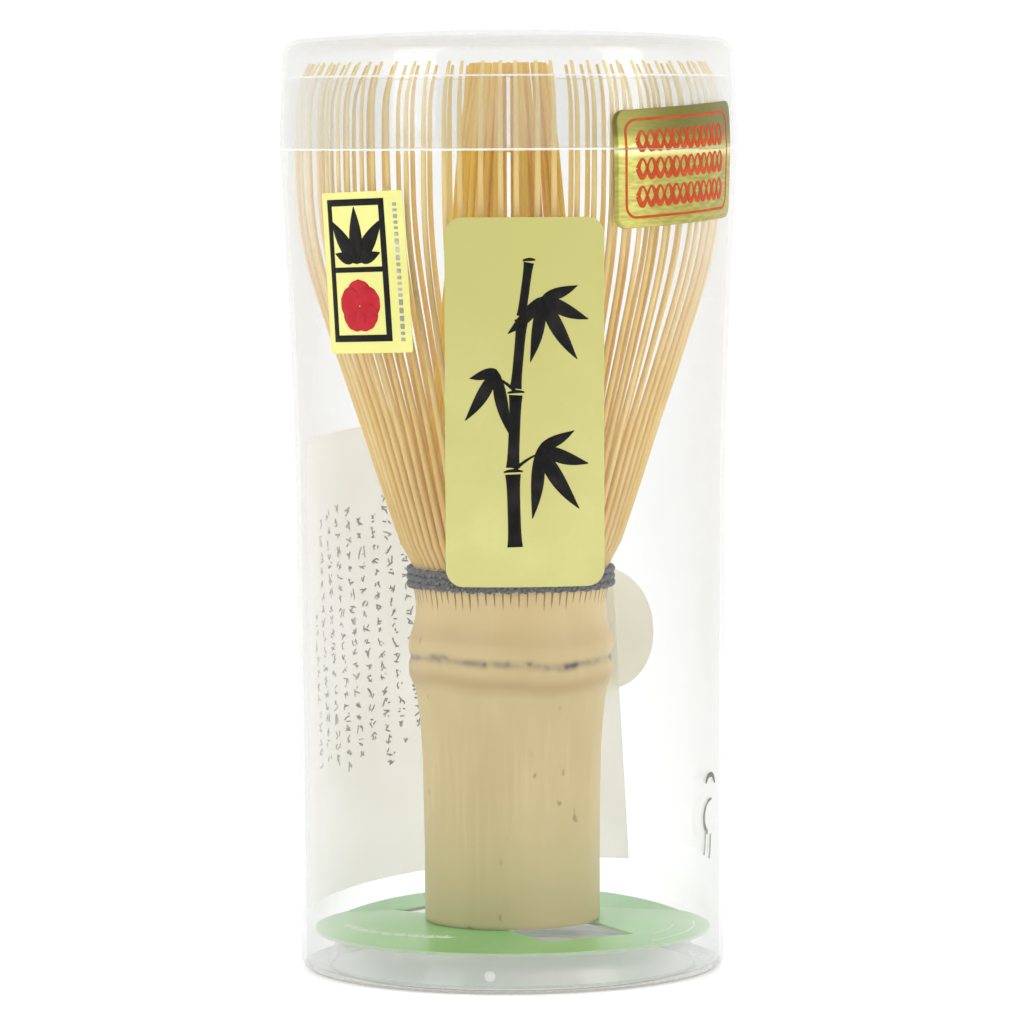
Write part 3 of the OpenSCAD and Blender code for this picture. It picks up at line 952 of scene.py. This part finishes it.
def handle():
    """The culm: skin outside, cut ends, and a hollow on each side of the node's diaphragm."""
    angles = [TAU * i / 216 for i in range(216)]

    def steps(start, end, step):
        return [round(v, 3) for v in np.arange(start, end, step)]

    def ring(r, h, wobble=0.0):
        return [on_ring(r + wobble * (math.sin(3 * a + h) + 0.6 * math.sin(8 * a - h)), a, FOOT_Z + h)
                for a in angles]
    heights = [0, 0.12, 0.35, 0.8] + steps(2, 30, 2) + steps(30, 46, 0.2) + steps(46, SPLIT_H, 0.8)
    heights.append(SPLIT_H)
    outer = [[on_ring(culm_radius(h, a), a, FOOT_Z + h) for a in angles] for h in heights]
    build = Build()
    build.grid(outer, around=True)
    top = [ring(r, SPLIT_H) for r in (SEAT - 0.1, ROOT - 1.6, BORE + 1.0, BORE + 0.5)]
    build.grid([outer[-1]] + top, around=True, slot=1)
    diaphragm = NODE_H - 0.9
    upper = [ring(BORE + 0.5, h, 0.04) for h in (SPLIT_H, 44, 41, 39)]
    for r, rise in ((BORE - 0.1, 0.9), (BORE - 1.6, 0.2), (5, 0.05), (2, 0.02)):
        upper.append(ring(r, diaphragm + 1.8 + rise))
    build.grid(upper, around=True, slot=2)
    build.add(ring(2, diaphragm + 1.82), [list(range(len(angles)))], 2)
    lower = [ring(BORE + 0.1, 0, 0.03)] + [ring(BORE, h, 0.03) for h in (1, 12, 24)]
    lower.append(ring(BORE - 0.1, diaphragm - 1.5, 0.03))
    for r, drop in ((BORE - 0.6, 0.5), (BORE - 1.6, 0.1), (5, 0.0), (2, 0.0)):
        lower.append(ring(r, diaphragm - drop))
    build.grid(lower, around=True, slot=2)
    build.add(ring(2, diaphragm), [list(range(len(angles)))[::-1]], 2)
    build.grid([ring(r, 0) for r in (BORE + 0.1, 10.2, 11.0)] + [outer[0]], around=True, slot=1)
    piece = weld(build.make("culm_handle", MAT["culm"], MAT["cut"], MAT["hollow"]), 0.004)
    line = piece.data.attributes.new("node_line", "FLOAT", "POINT")
    band = piece.data.attributes.new("band", "FLOAT", "POINT")
    for v in piece.data.vertices:
        h = v.co.z / MM - FOOT_Z - node_wave(math.atan2(v.co.x, -v.co.y)) - NODE_H
        line.data[v.index].value = math.exp(-(h / 0.5) ** 2)
        band.data[v.index].value = math.exp(-((h + 2.9) / 1.2) ** 2) + 0.3 * math.exp(-((h - 3.2) / 1.6) ** 2)
    return sharpen(piece, 45)


def root_slits():
    """Dark wedge-shaped cuts that run a little way down the culm below the thread, one between two tines:
    painted shade, dark strips laid on the culm for the shadow inside them.
    """
    build = Build()
    lengths = random.Random(7)
    top = THREAD_LOW[2] - FOOT_Z + 0.5
    for k in range(TINES):
        azimuth = TAU * k / TINES + math.radians(0.7) * (lengths.random() - 0.5)
        length = 1.9 + 1.3 * lengths.random()
        width = 0.26 + 0.14 * lengths.random()
        outer, inner = [], []
        for j in range(7):
            h = top - length * j / 6
            half = width / 2 * (1 - j / 6) ** 0.7 + 0.01
            r = culm_radius(h, azimuth)
            outer.append([on_ring(r + 0.015, azimuth + s * half / r, FOOT_Z + h) for s in (-1, 0, 1)])
            inner.append([on_ring(r - 0.1, azimuth + s * half / r, FOOT_Z + h) for s in (-1, 0, 1)])
        build.slab(outer, inner)
    return build.make("root_slits", MAT["slit"])


TINE_LIMIT = 29.6     # no tine reaches out past this radius


def tine(build, line, width_line, thick_line, azimuth_at, shade, steps, nudge):
    """One tine: a bevelled strip along a line of (height above the split, outer radius)."""
    top = line[-1][0]
    heights = [top * (j / steps) ** 0.9 for j in range(steps + 1)]
    path = [(min(TINE_LIMIT, curve_through(line, h) + nudge(h)), h) for h in heights]
    rows = []
    for j, (r, h) in enumerate(path):
        r0, h0 = path[max(0, j - 1)]
        r1, h1 = path[min(steps, j + 1)]
        length = math.hypot(r1 - r0, h1 - h0)
        out_r, out_h = (h1 - h0) / length, -(r1 - r0) / length
        half = curve_through(width_line, h) / 2
        thick = curve_through(thick_line, h)
        bevel = min(half, thick) * 0.35
        right = [(half - bevel, 0), (half, -bevel), (half, -thick + bevel), (half - bevel, -thick)]
        left = [(-side, depth) for side, depth in right]
        section = [left[1], left[0]] + right + [left[3], left[2]]
        azimuth = azimuth_at(h)
        row = []
        for side, depth in section:
            x, y, z = on_ring(r + out_r * depth, azimuth, SPLIT_Z + h + out_h * depth)
            row.append((x + side * math.cos(azimuth), y + side * math.sin(azimuth), min(z, TIP_Z)))
        rows.append(row)
    build.grid(rows, around=True, caps=True, shade=shade)


TINE_H = TIP_Z - SPLIT_Z
OUTER_LINE = [
    (0, ROOT - 0.05), (1, 14.35), (8.6, 17.15), (19.6, 20.75), (30.6, 24.5), (41.6, 27.9),
    (46, 28.8), (51, 29.3), (57, 29.45), (62, 29.4), (65.5, 29.05), (67.8, 28.35), (TINE_H, 27.5)]
OUTER_WIDTH = [(0, 0.9), (12, 0.86), (35, 0.78), (50, 0.74), (62, 0.66), (TINE_H, 0.46)]
OUTER_THICK = [(0, 0.95), (10, 0.8), (30, 0.56), (58, 0.36), (TINE_H, 0.22)]
INNER_LINE = [
    (0, 11.8), (8, 11.7), (24, 10.9), (39, 9.8), (48, 8.7), (57, 8.0), (66, 6.9), (TINE_H, 6.4)]
INNER_WIDTH = [(0, 0.85), (20, 0.8), (50, 0.82), (62, 0.76), (TINE_H, 0.45)]
INNER_THICK = [(0, 0.85), (20, 0.6), (50, 0.5), (TINE_H, 0.3)]


CLUMPS = 9            # how many clumps the inner tines lean into


def outer_habit(own, base):
    """How one outer tine stands: its azimuth and its way in or out, both by height above the split."""
    lean = math.radians(own.uniform(-0.75, 0.75))
    kink = math.radians(own.uniform(-0.35, 0.35))
    draw = own.uniform(-0.5, 0.2)
    phase = own.uniform(0, TAU)
    curl = own.uniform(-0.9, 0.1)

    def azimuth_at(h):
        share = h / TINE_H
        return (base + lean * ramp(share, 0.1, 0.8)
                + kink * math.sin(4 * share + phase) * ramp(share, 0.15, 0.5))

    def nudge(h):
        share = h / TINE_H
        return draw * ramp(share, 0.2, 0.9) + curl * ramp(share, 0.92, 1.0)
    return azimuth_at, nudge


def inner_habit(own, base):
    """How one inner tine stands: drawn into a clump with its neighbours and leaning in to the middle."""
    clump = TAU * (round(base / TAU * CLUMPS - 0.5) + 0.5) / CLUMPS
    gather = own.uniform(0.1, 0.35)
    swing = math.radians(own.uniform(-3, 5))
    inward = own.uniform(0, 1) ** 0.7
    phase = own.uniform(0, TAU)

    def azimuth_at(h):
        share = h / TINE_H
        return (base + (clump - base) * gather * ramp(share, 0.1, 0.75) + swing * share
                + 0.02 * math.sin(5 * share + phase) * ramp(share, 0.1, 0.4))

    def nudge(h):
        share = h / TINE_H
        return -inward * (1.9 * ramp(share, 0.12, 0.7) + 0.9 * ramp(share, 0.7, 1.0))
    return azimuth_at, nudge


def strips(side, sector, seed, habit, lines, steps):
    """The six neighbouring tines of a sector, each a little different in lean, colour and curl."""
    build = Build()
    for number in range(sector * TINES // SECTORS, (sector + 1) * TINES // SECTORS):
        own = random.Random(seed + number)
        azimuth_at, nudge = habit(own, TAU * (number + 0.5) / TINES)
        tine(build, *lines, azimuth_at, own.random(), steps, nudge)
    return sharpen(build.make(f"{side}_tine_strips_{sector + 1:02d}", MAT[side]), 60)


def binding_thread():
    """Three wraps of two-ply cotton outside the tines, and one turn between the outer and inner tines."""
    build = Build()
    band = THREAD_HIGH[2] - THREAD_LOW[2]
    wraps = 3
    pitch = band / wraps

    def wrap(r_mid, z_mid, ply_r, offset, turns, phase):
        steps = TINES * 10
        for ply in (0, math.pi):
            rows = []
            for i in range(steps):
                a = TAU * i / steps
                dip = 0.04 * math.cos(TINES * a + phase)
                rise = 0.1 * math.sin(TINES / 2 * a + phase) + 0.05 * math.sin(5 * a + phase)
                twist = turns * a + ply
                r = r_mid + dip + offset * math.cos(twist)
                z = z_mid + rise + offset * math.sin(twist)
                rows.append([on_ring(r + ply_r * math.cos(b), a, z + ply_r * math.sin(b))
                             for b in np.linspace(0, TAU, 8, endpoint=False)])
            build.grid(rows + rows[:1], around=True)
    for k in range(wraps):
        z_mid = THREAD_LOW[2] + pitch * (k + 0.5)
        wrap(SEAT + pitch / 2 - 0.02, z_mid, 0.31, 0.17, 54, 2.1 * k)
    wrap(12.22, SPLIT_Z + 0.55, 0.2, 0.14, 47, 0.7)
    return weld(build.make("cotton_thread", MAT["thread"]), 0.0005)


# ---- put the pieces on their bodies


def stand_for(piece, body, slot, *nodes):
    if nodes:
        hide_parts(*nodes)
    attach(piece, body)
    return piece


stand_for(case_shell(), "case", "clear_plastic", "case_shell")
stand_for(case_cap(), "cap", "clear_plastic", "case_cap")
stand_for(mould_seam(), "case", "clear_plastic")
stand_for(gate_stub(), "case", "clear_plastic")
stand_for(label("front_label_paper", MAT["front"], *FRONT_LABEL), "case", "label_paper", "front_label")
stand_for(front_label_art(), "case", "label_paper")
stand_for(label("side_label_paper", MAT["side"], *SIDE_LABEL), "case", "label_paper", "side_label")
stand_for(side_label_art(), "case", "label_paper")
stand_for(wall_marks(), "case", "label_paper")
stand_for(round_label(), "case", "plain_label_paper", "rear_label")
seal = seal_halves()
stand_for(seal["lower"], "case", "seal_foil", "seal_label_lower")
stand_for(seal["lower_art"], "case", "seal_foil")
stand_for(seal["upper"], "cap", "seal_foil", "seal_label_upper")
stand_for(seal["upper_art"], "cap", "seal_foil")
stand_for(leaflet_sheet(), "case", "leaflet_paper", "leaflet")
stand_for(leaflet_print(), "case", "leaflet_paper")
stand_for(card_print(), "case", "insert_card")
stand_for(handle(), "whisk", "bamboo_culm", "handle")
stand_for(root_slits(), "whisk", "bamboo_culm")
stand_for(binding_thread(), "whisk", "thread", "binding_thread")

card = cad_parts["insert_card"]
for material_slot in card.material_slots:
    material_slot.material = MAT["card"]

for sector in range(SECTORS):
    number = f"{sector + 1:02d}"
    inner = strips("inner", sector, 500, inner_habit, (INNER_LINE, INNER_WIDTH, INNER_THICK), 22)
    stand_for(inner, "whisk", "bamboo_inner_tines", "inner_tines_" + number)
    outer = strips("outer", sector, 100, outer_habit, (OUTER_LINE, OUTER_WIDTH, OUTER_THICK), 30)
    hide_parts("outer_tines_" + number)
    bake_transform(outer)

# ---- floor, light, camera

scene = bpy.context.scene
scene.cycles.transparent_max_bounces = 32
scene.view_settings.view_transform = "Standard"


def white_floor():
    n = Nodes("studio_floor")
    mottle = n.noise(3, 2.0)
    colour = n.mix(mottle, (0.93, 0.93, 0.93, 1), (0.95, 0.95, 0.95, 1))
    material = n.finish(n.principled(colour, 0.6, Emission_Color=WHITE, Emission_Strength=0.26))
    half = 3.0
    mesh = bpy.data.meshes.new("studio_floor")
    corner_points = [(-half, -half, 0), (half, -half, 0), (half, half, 0), (-half, half, 0)]
    mesh.from_pydata(corner_points, [], [(0, 1, 2, 3)])
    mesh.materials.append(material)
    floor = bpy.data.objects.new("studio_floor", mesh)
    scene.collection.objects.link(floor)


def soft_box(name, place, target, width, height, watts):
    light = bpy.data.lights.new(name, "AREA")
    light.shape = "RECTANGLE"
    light.size, light.size_y = width, height
    light.energy = watts
    lamp = bpy.data.objects.new(name, light)
    lamp.location = place
    lamp.rotation_euler = (Vector(target) - Vector(place)).to_track_quat("-Z", "Y").to_euler()
    scene.collection.objects.link(lamp)


white_floor()
world = bpy.data.worlds.new("studio")
world.use_nodes = True
sky = world.node_tree.nodes["Background"]
sky.inputs["Color"].default_value = WHITE
tree = world.node_tree
direction = tree.nodes.new("ShaderNodeSeparateXYZ")
tree.links.new(tree.nodes.new("ShaderNodeTexCoord").outputs["Generated"], direction.inputs[0])
level = tree.nodes.new("ShaderNodeMapRange")      # darker behind the camera than on the studio sweep
for socket, number in zip(("From Min", "From Max", "To Min", "To Max"), (-0.9, 0.35, 0.46, 1.08)):
    level.inputs[socket].default_value = number
tree.links.new(direction.outputs["Y"], level.inputs["Value"])
tree.links.new(level.outputs[0], sky.inputs["Strength"])
scene.world = world
middle_z = TOP_Z * MM / 2
soft_box("key_left", (-0.55, -0.5, 0.42), (0, 0, middle_z), 0.35, 0.6, 2.1)
soft_box("fill_right", (0.6, -0.35, 0.3), (0, 0, middle_z), 0.3, 0.6, 1.8)

EYE = (0, -0.768, 0.116)
AIM = (0, 0, 0.0631)
ROLL = -0.3
camera_data = bpy.data.cameras.new("camera")
camera_data.lens = 196.3
camera_data.sensor_width = 36
camera = bpy.data.objects.new("camera", camera_data)
camera.location = EYE
camera.rotation_euler = (Vector(AIM) - camera.location).to_track_quat("-Z", "Y").to_euler()
camera.rotation_euler.rotate_axis("Z", math.radians(ROLL))
scene.collection.objects.link(camera)
scene.camera = camera
